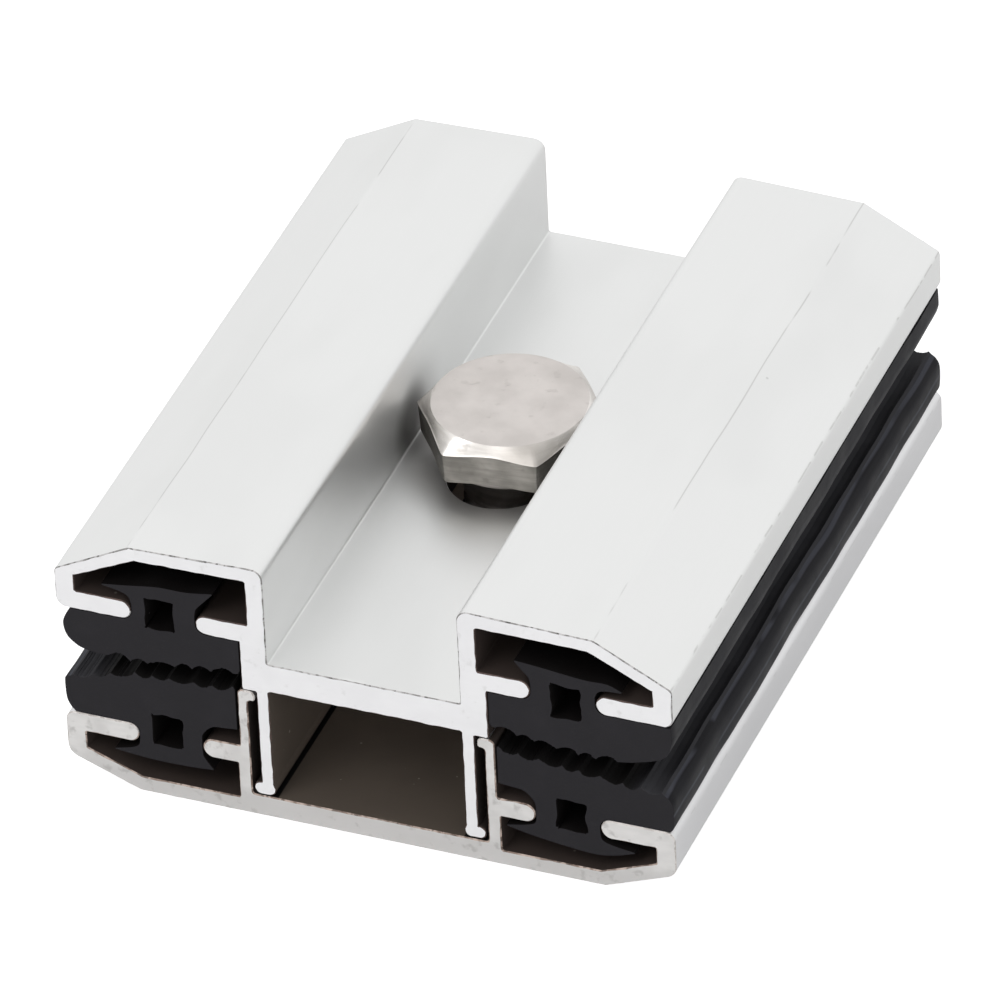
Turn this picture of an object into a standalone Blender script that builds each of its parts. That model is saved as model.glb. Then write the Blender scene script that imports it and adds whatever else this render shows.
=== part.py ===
# Solar mid clamp: two aluminium extrusions that nest and slide, four rubber strips and a hex bolt.
# The clamp stands on its base rail. X runs across it, Y along the extrusions and Z up, in metres.
# The origin is the middle of the base rail's underside.

import math

import bmesh
import bpy
from mathutils import Matrix, Vector

# Overall sizes
CLAMP_LENGTH = 0.0600
CLAMP_WIDTH = 0.0500
CHANNEL_WIDTH = 0.0157      # bolt channel, and the space between the top rail's legs

# Gaps between pieces that rest on each other, or slide past each other, on the real clamp
SEAT_GAP = 0.0003
SLIDE_GAP = 0.0002

# Legs that guide the rails: outward feet on the top rail, inward hooks on the base rail
TOP_LEG_WALL = 0.0010
FOOT_REACH = 0.0006         # how far a foot stands out from its leg
FOOT_DEPTH = 0.0010
BASE_LEG_WALL = 0.00105     # below the lips
BASE_UPPER_WALL = 0.0008    # above them
BASE_LEG_HEIGHT = 0.0117    # underside of the clamp to the top of a hook
HOOK_DEPTH = 0.0009
LEG_ROUND = 0.0004          # rounding on feet and hooks

# Wings that hold the rubber strips, shared by both rails
OUTER_WALL = 0.0016
LIP = 0.0017                # thickness of the lips beside a strip's neck
STRIP_SLOT = 0.0053         # opening between two lips
STRIP_INSET = 0.0088        # from the clamp's side to the middle of that opening
WING_REACH = 0.01497        # wing beside the block that the openings' and strips' sizes across are given for
LIP_CORNER_ROUND = 0.0008   # where an outer wall turns into its lip

# Base rail
PLATE = 0.0019              # between the legs
BASE_WALL = 0.00135         # under the wings
BASE_INSET = 0.00015        # the base rail is this much narrower on each side
BASE_SLOPE_WIDTH = 0.00585  # from the rail's side to where its underside is flat
BASE_SLOPE_RISE = 0.0023
BASE_OUTER_ROUND = 0.0020   # long outer edges
BASE_INNER_RISE = 0.0031    # underside to the end of the cavity's slope
BASE_LIP_HEIGHT = 0.0046    # underside to the near face of the lips

# Top rail, measured from its seat on the hooks or down from its top
TOP_RISE = 0.0114           # seat to top
WEB = 0.0026                # floor of the bolt channel
CHANNEL_WALL = 0.00147
BLOCK_WALL = 0.00218        # thick wall beside the strips
TOP_LIP_DEPTH = 0.0054      # top to the near face of the lips
ROOF_WALL = 0.00135
TOP_SLOPE_WIDTH = 0.0062    # from the rail's side to its ridge
TOP_SLOPE_DROP = 0.0036
TOP_FALL = 0.0003           # from the channel to the ridge
TOP_INNER_SLOPE_WIDTH = 0.0051
TOP_INNER_FALL = 0.0001
TOP_INNER_DROP = 0.00395    # top to the end of the cavity's slope
TOP_OUTER_ROUND = 0.0013    # long outer edges
CHANNEL_ROUND = 0.0009      # top edges of the channel
CHANNEL_FILLET = 0.0004     # foot of the channel's walls

# Bolt slots in both rails
BOLT_X = 0.0003             # slots and bolt stand this far right of the middle
BOLT_SLOT_WIDTH = 0.0086
BOLT_SLOT_LENGTH = 0.0126
CUT_OVERRUN = 0.0010

# Rubber strips, measured across (out from the middle of the opening) and deep (from the middle of the
# lips towards the panel)
NECK_WIDTH = 0.0044
UPPER_STRIP_DEPTH = 0.00485         # thickest place
UPPER_STRIP_INNER_DEPTH = 0.0040
LOWER_STRIP_DEPTH = 0.00475
LOWER_STRIP_INNER_DEPTH = 0.0049
STRIP_CREST = 0.0040                # where a strip is thickest, from the middle of the opening
UPPER_STRIP_REACH = 0.00845         # outermost place of a strip
LOWER_STRIP_REACH = 0.00830
UPPER_NOSE_LENGTH = 0.0037
UPPER_NOSE_DEPTH = 0.00245
LOWER_NOSE_LENGTH = 0.0010
LOWER_NOSE_DEPTH = 0.0009
HEEL_LENGTH = 0.0008                # rounding of the strip's outer edge beside the lip
HEEL_DEPTH = 0.0012
TOOTH_DEPTH = 0.0004
TOOTH_PITCH = 0.0016
UPPER_TEETH = 6
LOWER_TEETH = 8
FIRST_TOOTH = 0.0006                # from the strip's inner edge to the first tooth
STRIP_HOLE_WIDTH = 0.0023
STRIP_HOLE_DEPTH = 0.0028
STRIP_HOLE_OFFSET = 0.0002          # outwards from the middle of the opening
LOWER_STRIP_TILT = math.radians(5)  # the lower strips sit up from their inner lips
TILT_CENTRE = 0.0070                # they turn on their outer lips here
WING_TIP_OUTER = 0.0050             # the flange behind the lips, shaped like a whale's tail
WING_TIP_INNER = 0.0041
WING_ROOT_DEPTH = 0.0013
WING_SPREAD = 0.0004
WING_BACK_DEPTH = 0.0026
WING_OUTER_TIP_DEPTH = 0.0020
WING_INNER_TIP_DEPTH = 0.0030
WING_INNER_BEND = 0.0033
WING_INNER_BEND_DEPTH = 0.0020
WING_INNER_ROOT_DEPTH = 0.00145

# Hex bolt
HEAD_STAND = 0.0011         # the loose bolt's head stands this far above the channel's floor
BOLT_DIAMETER = 0.0078
BOLT_TIP_CHAMFER = 0.0007
HEAD_ACROSS_FLATS = 0.0128
HEAD_HEIGHT = 0.0040        # of the hexagon
HEAD_FACE_DIAMETER = 0.0122 # flat circle on top
HEAD_CHAMFER_DEPTH = 0.0015 # at the hexagon's corners
WASHER_FACE = 0.0006        # thickness of the round face under the head
WASHER_FACE_DIAMETER = 0.0116
BOLT_Y = 0.0007             # the loose bolt stands this far behind the middle
HEAD_TURN = math.radians(5.1)

# Smoothness of the curves
CORNER_STEPS = 5
ROUND_STEPS = 48
SHARP_ANGLE = math.radians(35)
TIP_SHARE = 0.98            # of half a lip's thickness, so that the two arcs of its end do not meet

# Places worked out from the sizes above
HALF_WIDTH = CLAMP_WIDTH / 2
CHANNEL_HALF = CHANNEL_WIDTH / 2
TOP_LEG_OUTER = CHANNEL_HALF + TOP_LEG_WALL
FOOT_OUTER = TOP_LEG_OUTER + FOOT_REACH
HOOK_INNER = TOP_LEG_OUTER + SLIDE_GAP
BASE_LEG_INNER = FOOT_OUTER + SLIDE_GAP
BASE_LEG_OUTER = BASE_LEG_INNER + BASE_LEG_WALL
BASE_UPPER_OUTER = BASE_LEG_INNER + BASE_UPPER_WALL
BASE_HALF_WIDTH = HALF_WIDTH - BASE_INSET
BASE_CAVITY_OUTER = BASE_HALF_WIDTH - OUTER_WALL
BASE_RIDGE = BASE_HALF_WIDTH - BASE_SLOPE_WIDTH
TOP_CAVITY_OUTER = HALF_WIDTH - OUTER_WALL
TOP_INNER_RIDGE = TOP_CAVITY_OUTER - TOP_INNER_SLOPE_WIDTH
BLOCK_OUTER = CHANNEL_HALF + BLOCK_WALL
STRETCH = (HALF_WIDTH - BLOCK_OUTER) / WING_REACH       # of all sizes across the wings
STRIP_CENTRE = HALF_WIDTH - STRIP_INSET * STRETCH
INNER_LIP_TIP = STRIP_CENTRE - STRIP_SLOT / 2 * STRETCH
OUTER_LIP_TIP = STRIP_CENTRE + STRIP_SLOT / 2 * STRETCH
BASE_LIP_MIDDLE = BASE_LIP_HEIGHT + LIP / 2
TOP_SEAT = BASE_LEG_HEIGHT + SEAT_GAP
TOP_LIP_MIDDLE = TOP_RISE - TOP_LIP_DEPTH - LIP / 2
FOOT_BOTTOM = PLATE + SEAT_GAP - TOP_SEAT
BOLT_LENGTH = TOP_SEAT + WEB + HEAD_STAND               # under the head, with its tip on the ground

ALUMINIUM = (0.78, 0.78, 0.79)
BASE_ALUMINIUM = (0.70, 0.69, 0.67)
RUBBER = (0.025, 0.024, 0.028)
STAINLESS = (0.60, 0.56, 0.53)


def clear_scene():
    for thing in list(bpy.data.objects):
        bpy.data.objects.remove(thing, do_unlink=True)


def make_material(name, colour, roughness, metallic):
    material = bpy.data.materials.new(name)
    material.use_nodes = True
    shader = material.node_tree.nodes["Principled BSDF"]
    shader.inputs["Base Color"].default_value = (*colour, 1)
    shader.inputs["Roughness"].default_value = roughness
    shader.inputs["Metallic"].default_value = metallic
    return material


def add_object(name, mesh, material=None, parent=None, location=(0, 0, 0), turn=0):
    thing = bpy.data.objects.new(name, mesh)
    bpy.context.scene.collection.objects.link(thing)
    if material:
        mesh.materials.clear()
        mesh.materials.append(material)
    thing.parent = parent
    thing.location = location
    thing.rotation_euler.z = turn
    return thing


def round_corner(before, corner, after, radius):
    # An arc of the given radius that touches both lines of a corner.
    corner = Vector(corner)
    back = (Vector(before) - corner).normalized()
    ahead = (Vector(after) - corner).normalized()
    half_angle = back.angle(ahead) / 2
    middle = (back + ahead).normalized()
    centre = corner + middle * (radius / math.sin(half_angle))
    start = corner + back * (radius / math.tan(half_angle)) - centre
    swing = start.angle_signed(corner + ahead * (radius / math.tan(half_angle)) - centre)
    arc = []
    for step in range(CORNER_STEPS + 1):
        turned = start.copy()
        turned.rotate(Matrix.Rotation(-swing * step / CORNER_STEPS, 2))
        arc.append(tuple(centre + turned))
    return arc


def rounded(corners):
    # Corners are (across, up, radius), and a radius of zero stays sharp.
    outline = []
    count = len(corners)
    for index, (across, up, radius) in enumerate(corners):
        if radius:
            before = corners[index - 1][:2]
            after = corners[(index + 1) % count][:2]
            outline.extend(round_corner(before, (across, up), after, radius))
        else:
            outline.append((across, up))
    return outline


def both_sides(half):
    # Half an outline, completed by its mirror image across the middle.
    return half + [(-across, up, radius) for across, up, radius in reversed(half)]


def extrude(name, loops):
    # A bar along Y from one outline and any holes in it.
    shape = bmesh.new()
    edges = []
    for loop in loops:
        verts = [shape.verts.new((across, -CLAMP_LENGTH / 2, up)) for across, up in loop]
        for index, vert in enumerate(verts):
            edges.append(shape.edges.new((vert, verts[index - 1])))
    bmesh.ops.triangle_fill(shape, use_beauty=True, use_dissolve=False, edges=edges)
    end = bmesh.ops.extrude_face_region(shape, geom=shape.faces[:])
    moved = [item for item in end["geom"] if isinstance(item, bmesh.types.BMVert)]
    bmesh.ops.translate(shape, verts=moved, vec=(0, CLAMP_LENGTH, 0))
    bmesh.ops.recalc_face_normals(shape, faces=shape.faces[:])
    mesh = bpy.data.meshes.new(name)
    shape.to_mesh(mesh)
    shape.free()
    mesh.shade_smooth()
    mesh.set_sharp_from_angle(angle=SHARP_ANGLE)
    return mesh


def lip(tip, near, far):
    # The round end of a lip, between its two faces.
    return [(tip, near, LIP / 2 * TIP_SHARE), (tip, far, LIP / 2 * TIP_SHARE)]


def base_outline():
    near = BASE_LIP_HEIGHT
    far = BASE_LIP_HEIGHT + LIP
    hook_bottom = BASE_LEG_HEIGHT - HOOK_DEPTH
    half = [
        (BASE_LEG_INNER, PLATE, 0),
        (BASE_LEG_INNER, hook_bottom, 0),
        (HOOK_INNER, hook_bottom, LEG_ROUND / 2),
        (HOOK_INNER, BASE_LEG_HEIGHT, LEG_ROUND),
        (BASE_UPPER_OUTER, BASE_LEG_HEIGHT, LEG_ROUND),
        (BASE_UPPER_OUTER, far, 0),
        *lip(INNER_LIP_TIP, far, near),
        (BASE_LEG_OUTER, near, 0),
        (BASE_LEG_OUTER, BASE_WALL, 0),
        (base_inner_ridge(), BASE_WALL, 0),
        (BASE_CAVITY_OUTER, BASE_INNER_RISE, 0),
        (BASE_CAVITY_OUTER, near, 0),
        *lip(OUTER_LIP_TIP, near, far),
        (BASE_HALF_WIDTH, far, LIP_CORNER_ROUND),
        (BASE_HALF_WIDTH, BASE_SLOPE_RISE, BASE_OUTER_ROUND),
        (BASE_RIDGE, 0, 0),
    ]
    return rounded(both_sides(half))


def base_inner_ridge():
    # The cavity's slope keeps the wall's thickness under it.
    slope = math.atan2(BASE_SLOPE_RISE, BASE_SLOPE_WIDTH)
    return BASE_RIDGE - BASE_WALL * math.tan(slope / 2)


def top_outline():
    # Heights are measured from the rail's seat.
    near = TOP_RISE - TOP_LIP_DEPTH
    far = near - LIP
    foot_top = FOOT_BOTTOM + FOOT_DEPTH
    half = [
        (CHANNEL_HALF, 0, 0),
        (CHANNEL_HALF, FOOT_BOTTOM, LEG_ROUND),
        (FOOT_OUTER, FOOT_BOTTOM, LEG_ROUND),
        (FOOT_OUTER, foot_top, LEG_ROUND),
        (TOP_LEG_OUTER, foot_top, 0),
        (TOP_LEG_OUTER, 0, 0),
        (BLOCK_OUTER, 0, LEG_ROUND / 2),
        (BLOCK_OUTER, far, 0),
        *lip(INNER_LIP_TIP, far, near),
        (CHANNEL_HALF + CHANNEL_WALL, near, 0),
        (CHANNEL_HALF + CHANNEL_WALL, TOP_RISE - ROOF_WALL, LEG_ROUND / 2),
        (TOP_INNER_RIDGE, TOP_RISE - ROOF_WALL - TOP_INNER_FALL, 0),
        (TOP_CAVITY_OUTER, TOP_RISE - TOP_INNER_DROP, 0),
        (TOP_CAVITY_OUTER, near, 0),
        *lip(OUTER_LIP_TIP, near, far),
        (HALF_WIDTH, far, LIP_CORNER_ROUND),
        (HALF_WIDTH, TOP_RISE - TOP_SLOPE_DROP, TOP_OUTER_ROUND),
        (HALF_WIDTH - TOP_SLOPE_WIDTH, TOP_RISE - TOP_FALL, 0),
        (CHANNEL_HALF, TOP_RISE, CHANNEL_ROUND),
        (CHANNEL_HALF, WEB, CHANNEL_FILLET),
    ]
    return rounded(both_sides(half))


def ellipse_corner(centre, length, depth, start, end):
    # A quarter of an ellipse, with its angles counted from straight outwards.
    points = []
    for step in range(CORNER_STEPS + 1):
        angle = math.radians(start + (end - start) * step / CORNER_STEPS)
        points.append((centre[0] + length * math.cos(angle), centre[1] + depth * math.sin(angle)))
    return points


def crest(across, inner, depth, inner_depth):
    # The panel side of a strip is a flat arch that thins towards its inner edge.
    share = max(0, (STRIP_CREST - across) / (STRIP_CREST - inner))
    return depth - (depth - inner_depth) * share ** 2


def toothed_face(inner, depth, inner_depth, teeth, nose_start):
    # From the inner edge outwards: a plain strip, then the teeth, then plain to the nose.
    points = [(inner, crest(inner, inner, depth, inner_depth))]
    for tooth in range(teeth):
        notch = inner + FIRST_TOOTH + TOOTH_PITCH * tooth
        peak = notch + TOOTH_PITCH / 2
        points.append((notch, crest(notch, inner, depth, inner_depth) - TOOTH_DEPTH))
        points.append((peak, crest(peak, inner, depth, inner_depth)))
    last = inner + FIRST_TOOTH + TOOTH_PITCH * teeth
    if last < nose_start - TOOTH_PITCH / 2:
        points.append((last, crest(last, inner, depth, inner_depth) - TOOTH_DEPTH))
        points.append((last + TOOTH_PITCH / 2, crest(last, inner, depth, inner_depth)))
    return points


def strip_outline(inner, depth, inner_depth, reach, nose_length, nose_depth, teeth):
    # Across and deep, with the pad on the panel side, the neck between the lips and the tail behind them.
    seat = LIP / 2 + SEAT_GAP
    neck = NECK_WIDTH / 2
    nose_start = reach - nose_length
    outline = toothed_face(inner, depth, inner_depth, teeth, nose_start)
    outline += ellipse_corner((nose_start, depth - nose_depth), nose_length, nose_depth, 90, 0)
    outline += ellipse_corner((reach - HEEL_LENGTH, seat + HEEL_DEPTH), HEEL_LENGTH, HEEL_DEPTH, 0, -90)
    outline += [
        (neck, seat),
        (neck, -WING_ROOT_DEPTH),
        (neck + WING_SPREAD, -WING_ROOT_DEPTH),
        (WING_TIP_OUTER, -WING_OUTER_TIP_DEPTH),
        (neck + WING_SPREAD, -WING_BACK_DEPTH + WING_SPREAD / 2),
        (0, -WING_BACK_DEPTH),
        (-neck, -WING_BACK_DEPTH),
        (-WING_TIP_INNER, -WING_INNER_TIP_DEPTH),
        (-WING_INNER_BEND, -WING_INNER_BEND_DEPTH),
        (-neck, -WING_INNER_ROOT_DEPTH),
        (-neck, seat),
        (inner, seat),
    ]
    return outline


def strip_hole():
    # The square tunnel through the neck.
    left = STRIP_HOLE_OFFSET - STRIP_HOLE_WIDTH / 2
    right = STRIP_HOLE_OFFSET + STRIP_HOLE_WIDTH / 2
    half = STRIP_HOLE_DEPTH / 2
    return [(left, -half), (right, -half), (right, half), (left, half)]


def stretched(points):
    # Fits a strip to the wing's width.
    return [(across * STRETCH, deep) for across, deep in points]


def tilted(points):
    # Turns a lower strip on its outer lip, so that its inner edge lifts.
    centre = Vector((TILT_CENTRE * STRETCH, LIP / 2 + SEAT_GAP))
    turn = Matrix.Rotation(-LOWER_STRIP_TILT, 2)
    result = []
    for point in points:
        offset = turn @ (Vector(point) - centre)
        result.append(tuple(centre + offset))
    return result


def upper_strip_mesh():
    outline = strip_outline(
        (BLOCK_OUTER + SEAT_GAP - STRIP_CENTRE) / STRETCH,
        UPPER_STRIP_DEPTH,
        UPPER_STRIP_INNER_DEPTH,
        UPPER_STRIP_REACH,
        UPPER_NOSE_LENGTH,
        UPPER_NOSE_DEPTH,
        UPPER_TEETH,
    )
    loops = [stretched(outline), stretched(strip_hole())]
    return extrude("upper_strip", [[(across, -deep) for across, deep in loop] for loop in loops])


def lower_strip_mesh():
    outline = strip_outline(
        (BASE_UPPER_OUTER + SEAT_GAP - STRIP_CENTRE) / STRETCH,
        LOWER_STRIP_DEPTH,
        LOWER_STRIP_INNER_DEPTH,
        LOWER_STRIP_REACH,
        LOWER_NOSE_LENGTH,
        LOWER_NOSE_DEPTH,
        LOWER_TEETH,
    )
    return extrude("lower_strip", [tilted(stretched(outline)), tilted(stretched(strip_hole()))])


def add_strips(rubber, parent, label, make_mesh, height):
    # Left and right are the same strip turned end for end.
    for side, direction, turn in (("right", 1, 0), ("left", -1, math.pi)):
        name = f"{label}_{side}_gasket"
        place = (STRIP_CENTRE * direction, 0, height)
        add_object(name, make_mesh(), rubber, parent, place, turn)


def slot_cutter():
    # One long-hole cutter with round ends goes through both rails.
    shape = bmesh.new()
    straight = (BOLT_SLOT_LENGTH - BOLT_SLOT_WIDTH) / 2
    radius = BOLT_SLOT_WIDTH / 2
    verts = []
    for step in range(ROUND_STEPS):
        angle = 2 * math.pi * (step + 1 / 2) / ROUND_STEPS
        along = radius * math.sin(angle) + math.copysign(straight, math.sin(angle))
        verts.append(shape.verts.new((BOLT_X + radius * math.cos(angle), along, -CUT_OVERRUN)))
    face = shape.faces.new(verts)
    top = bmesh.ops.extrude_face_region(shape, geom=[face])
    moved = [item for item in top["geom"] if isinstance(item, bmesh.types.BMVert)]
    bmesh.ops.translate(shape, verts=moved, vec=(0, 0, TOP_SEAT + WEB + 2 * CUT_OVERRUN))
    bmesh.ops.recalc_face_normals(shape, faces=shape.faces[:])
    mesh = bpy.data.meshes.new("slot_cutter")
    shape.to_mesh(mesh)
    shape.free()
    cutter = add_object("slot_cutter", mesh)
    cutter.display_type = "WIRE"
    cutter.hide_render = True
    return cutter


def cut_slot(rail, cutter):
    cut = rail.modifiers.new("bolt slot", "BOOLEAN")
    cut.operation = "DIFFERENCE"
    cut.solver = "EXACT"
    cut.object = cutter


def circle(diameter, up):
    ring = []
    for step in range(ROUND_STEPS):
        angle = 2 * math.pi * step / ROUND_STEPS
        ring.append((diameter / 2 * math.cos(angle), diameter / 2 * math.sin(angle), up))
    return ring


def hexagon(up, chamfer_depth=0):
    # A corner stands at angle zero. The chamfer cone cuts the corners deepest.
    flat = HEAD_ACROSS_FLATS / 2
    corner = flat / math.cos(math.pi / 6)
    face = HEAD_FACE_DIAMETER / 2
    ring = []
    for step in range(ROUND_STEPS):
        angle = 2 * math.pi * step / ROUND_STEPS
        off_flat = (angle % (math.pi / 3)) - math.pi / 6
        radius = flat / math.cos(off_flat)
        drop = chamfer_depth * (radius - face) / (corner - face)
        ring.append((radius * math.cos(angle), radius * math.sin(angle), up - drop))
    return ring


def skin(name, rings):
    # Rings of the same number of points, joined one above the other and closed at both ends.
    shape = bmesh.new()
    rows = [[shape.verts.new(point) for point in ring] for ring in rings]
    for lower, upper in zip(rows, rows[1:]):
        for index in range(ROUND_STEPS):
            shape.faces.new((lower[index - 1], lower[index], upper[index], upper[index - 1]))
    shape.faces.new(list(reversed(rows[0])))
    shape.faces.new(rows[-1])
    bmesh.ops.recalc_face_normals(shape, faces=shape.faces[:])
    mesh = bpy.data.meshes.new(name)
    shape.to_mesh(mesh)
    shape.free()
    mesh.shade_smooth()
    mesh.set_sharp_from_angle(angle=SHARP_ANGLE)
    return mesh


def bolt_mesh():
    # The origin is on the bolt's axis, under the head.
    return skin("hex_bolt", [
        circle(BOLT_DIAMETER - 2 * BOLT_TIP_CHAMFER, -BOLT_LENGTH),
        circle(BOLT_DIAMETER, BOLT_TIP_CHAMFER - BOLT_LENGTH),
        circle(BOLT_DIAMETER, 0),
        circle(WASHER_FACE_DIAMETER, 0),
        circle(WASHER_FACE_DIAMETER, WASHER_FACE),
        hexagon(WASHER_FACE),
        hexagon(WASHER_FACE + HEAD_HEIGHT, HEAD_CHAMFER_DEPTH),
        circle(HEAD_FACE_DIAMETER, WASHER_FACE + HEAD_HEIGHT),
    ])


def build():
    clear_scene()
    aluminium = make_material("aluminium", ALUMINIUM, 0.35, 1)
    base_aluminium = make_material("base aluminium", BASE_ALUMINIUM, 0.45, 1)
    rubber = make_material("rubber", RUBBER, 0.6, 0)
    stainless = make_material("stainless", STAINLESS, 0.3, 1)

    cutter = slot_cutter()
    base = add_object("base_rail", extrude("base_rail", [base_outline()]), base_aluminium)
    cut_slot(base, cutter)
    add_strips(rubber, base, "lower", lower_strip_mesh, BASE_LIP_MIDDLE)

    lift = add_object("top_lift", None, location=(0, 0, TOP_SEAT))
    top = add_object("top_rail", extrude("top_rail", [top_outline()]), aluminium, lift)
    cut_slot(top, cutter)
    add_strips(rubber, lift, "upper", upper_strip_mesh, TOP_LIP_MIDDLE)

    bolt_place = (BOLT_X, BOLT_Y, BOLT_LENGTH - TOP_SEAT)
    add_object("hex_bolt", bolt_mesh(), stainless, lift, bolt_place, HEAD_TURN)


build()
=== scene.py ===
import math

import bpy
import numpy as np
from mathutils import Matrix, Vector
from mathutils.geometry import tessellate_polygon


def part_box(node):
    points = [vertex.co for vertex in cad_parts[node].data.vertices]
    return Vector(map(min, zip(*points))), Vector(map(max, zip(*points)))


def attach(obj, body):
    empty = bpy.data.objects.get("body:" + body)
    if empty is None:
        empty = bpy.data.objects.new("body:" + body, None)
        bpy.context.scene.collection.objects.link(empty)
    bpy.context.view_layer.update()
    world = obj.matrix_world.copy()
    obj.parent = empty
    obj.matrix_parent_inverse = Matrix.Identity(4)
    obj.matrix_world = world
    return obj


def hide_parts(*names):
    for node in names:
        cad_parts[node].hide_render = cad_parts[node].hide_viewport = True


# Solar mid clamp. Shapes are worked out in millimetres and become metres when a mesh is made.
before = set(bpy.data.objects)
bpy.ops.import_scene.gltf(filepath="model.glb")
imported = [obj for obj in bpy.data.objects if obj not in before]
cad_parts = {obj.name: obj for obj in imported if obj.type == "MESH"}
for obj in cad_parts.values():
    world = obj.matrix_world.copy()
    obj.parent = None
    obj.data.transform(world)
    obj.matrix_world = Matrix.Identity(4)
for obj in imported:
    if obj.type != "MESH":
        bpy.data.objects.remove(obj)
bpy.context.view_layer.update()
mm = 0.001


def boxOf(node):
    low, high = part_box(node)
    return np.array(low) / mm, np.array(high) / mm


topLow, topHigh = boxOf("top_rail")
baseLow, baseHigh = boxOf("base_rail")
print("frame loaded")


def addObject(name, data):
    thing = bpy.data.objects.new(name, data)
    bpy.context.scene.collection.objects.link(thing)
    return thing


# Camera: turned about the vertical, raised, then rolled about its own axis. Aim and distance in mm.
camera = {"turn": 22.652, "raise": 36.201, "roll": -2.702, "lens": 476.32, "distance": 1007.7,
          "aim": (4.43, -12.05, 20.30)}


def addCamera(look):
    turn, lift, roll = (math.radians(look[key]) for key in ("turn", "raise", "roll"))
    back = Vector((math.sin(turn) * math.cos(lift), -math.cos(turn) * math.cos(lift), math.sin(lift)))
    level = Vector((math.cos(turn), math.sin(turn), 0))
    upright = back.cross(level)
    right = level * math.cos(roll) + upright * math.sin(roll)
    up = upright * math.cos(roll) - level * math.sin(roll)
    data = bpy.data.cameras.new("camera")
    data.lens = look["lens"]
    thing = addObject("camera", data)
    place = (Vector(look["aim"]) + back * look["distance"]) * mm
    thing.matrix_world = Matrix.Translation(place) @ Matrix((right, up, back)).transposed().to_4x4()
    bpy.context.scene.camera = thing


addCamera(camera)


# Node helpers
def emptyTree(owner):
    owner.use_nodes = True
    owner.node_tree.nodes.clear()
    return owner.node_tree


def feed(tree, socket, value):
    # links a socket to another one, or sets its plain value
    if isinstance(value, bpy.types.NodeSocket):
        tree.links.new(value, socket)
    else:
        socket.default_value = value


def put(tree, kind, values=None, **settings):
    # adds a node, sets it up, and feeds its inputs
    made = tree.nodes.new(kind)
    for name, value in settings.items():
        setattr(made, name, value)
    for name, value in (values or {}).items():
        feed(tree, made.inputs[name], value)
    return made


def sums(tree, operation, first, second=0.0):
    return put(tree, "ShaderNodeMath", {0: first, 1: second}, operation=operation).outputs[0]


def spread(tree, value, low, high, fromValue=0.0, toValue=1.0):
    # a smooth step from one value to another as the input goes from low to high
    return put(tree, "ShaderNodeMapRange", {
        "Value": value, "From Min": low, "From Max": high, "To Min": fromValue, "To Max": toValue,
    }, interpolation_type="SMOOTHSTEP").outputs["Result"]


def band(tree, value, limits):
    # a smooth step from 0 at the first limit to 1 at the second, both in mm
    return spread(tree, value, limits[0] * mm, limits[1] * mm)


def patchRound(tree, place, point, limits):
    # 1 close to a point and 0 far from it
    away = put(tree, "ShaderNodeVectorMath", {0: place, 1: point}, operation="DISTANCE")
    return band(tree, away.outputs["Value"], limits)


def mixColour(tree, share, first, second):
    # the first colour where share is 0, the second where it is 1
    made = put(tree, "ShaderNodeMix", {0: share}, data_type="RGBA")
    for name, value in ((6, first), (7, second)):
        feed(tree, made.inputs[name], (*value, 1) if isinstance(value, tuple) else value)
    return made.outputs[2]


def washed(tree, colour, *layers):
    # lays tones over a colour in turn: each layer is a mask, how strongly it shows, and its tone
    for mask, share, tone in layers:
        colour = mixColour(tree, sums(tree, "MULTIPLY", mask, share), colour, tone)
    return colour


def newGroup(name, inputs, outputs):
    tree = bpy.data.node_groups.new(name, "ShaderNodeTree")
    for label, value in inputs.items():
        kind = "NodeSocketFloat" if isinstance(value, float) else "NodeSocketVector"
        tree.interface.new_socket(label, in_out="INPUT", socket_type=kind).default_value = value
    for label in outputs:
        tree.interface.new_socket(label, in_out="OUTPUT", socket_type="NodeSocketFloat")
    return tree, tree.nodes.new("NodeGroupInput").outputs, tree.nodes.new("NodeGroupOutput")


def finishGroup(tree, exits, results):
    for name, value in results.items():
        tree.links.new(value, exits.inputs[name])
    return tree


def makeGrainGroup():
    # noise in a box stretched by Stretch: round spots when even, drawn lines when one side is short
    tree, ins, exits = newGroup("grain", {
        "Vector": (0, 0, 0), "Stretch": (1, 1, 1), "Scale": 3000.0, "Detail": 2.0, "Low": 0.3, "High": 0.7,
    }, ["Mask", "Value"])
    pulled = put(tree, "ShaderNodeVectorMath", {0: ins["Vector"], 1: ins["Stretch"]}, operation="MULTIPLY")
    noise = put(tree, "ShaderNodeTexNoise", {
        "Vector": pulled.outputs[0], "Scale": ins["Scale"], "Detail": ins["Detail"],
    })
    value = noise.outputs["Fac"]
    return finishGroup(tree, exits, {"Mask": spread(tree, value, ins["Low"], ins["High"]), "Value": value})


speckLook = {"smallest": 0.35, "core": 0.4}


def makeSpeckGroup():
    # small round specks at scattered cells; Share says how many of the cells have one
    tree, ins, exits = newGroup("specks", {
        "Vector": (0, 0, 0), "Scale": 400.0, "Size": 0.2, "Share": 0.2,
    }, ["Mask"])
    cells = put(tree, "ShaderNodeTexVoronoi", {"Vector": ins["Vector"], "Scale": ins["Scale"]})
    pick = put(tree, "ShaderNodeSeparateColor", {0: cells.outputs["Color"]})
    chosen = sums(tree, "LESS_THAN", pick.outputs[0], ins["Share"])
    size = sums(tree, "MULTIPLY", ins["Size"], sums(tree, "ADD", pick.outputs[1], speckLook["smallest"]))
    spot = spread(tree, cells.outputs["Distance"], size, sums(tree, "MULTIPLY", size, speckLook["core"]))
    return finishGroup(tree, exits, {"Mask": sums(tree, "MULTIPLY", chosen, spot)})


lineLook = {"wanderScale": 90.0, "wander": 0.4, "core": 0.3, "fade": 0.08}


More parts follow.
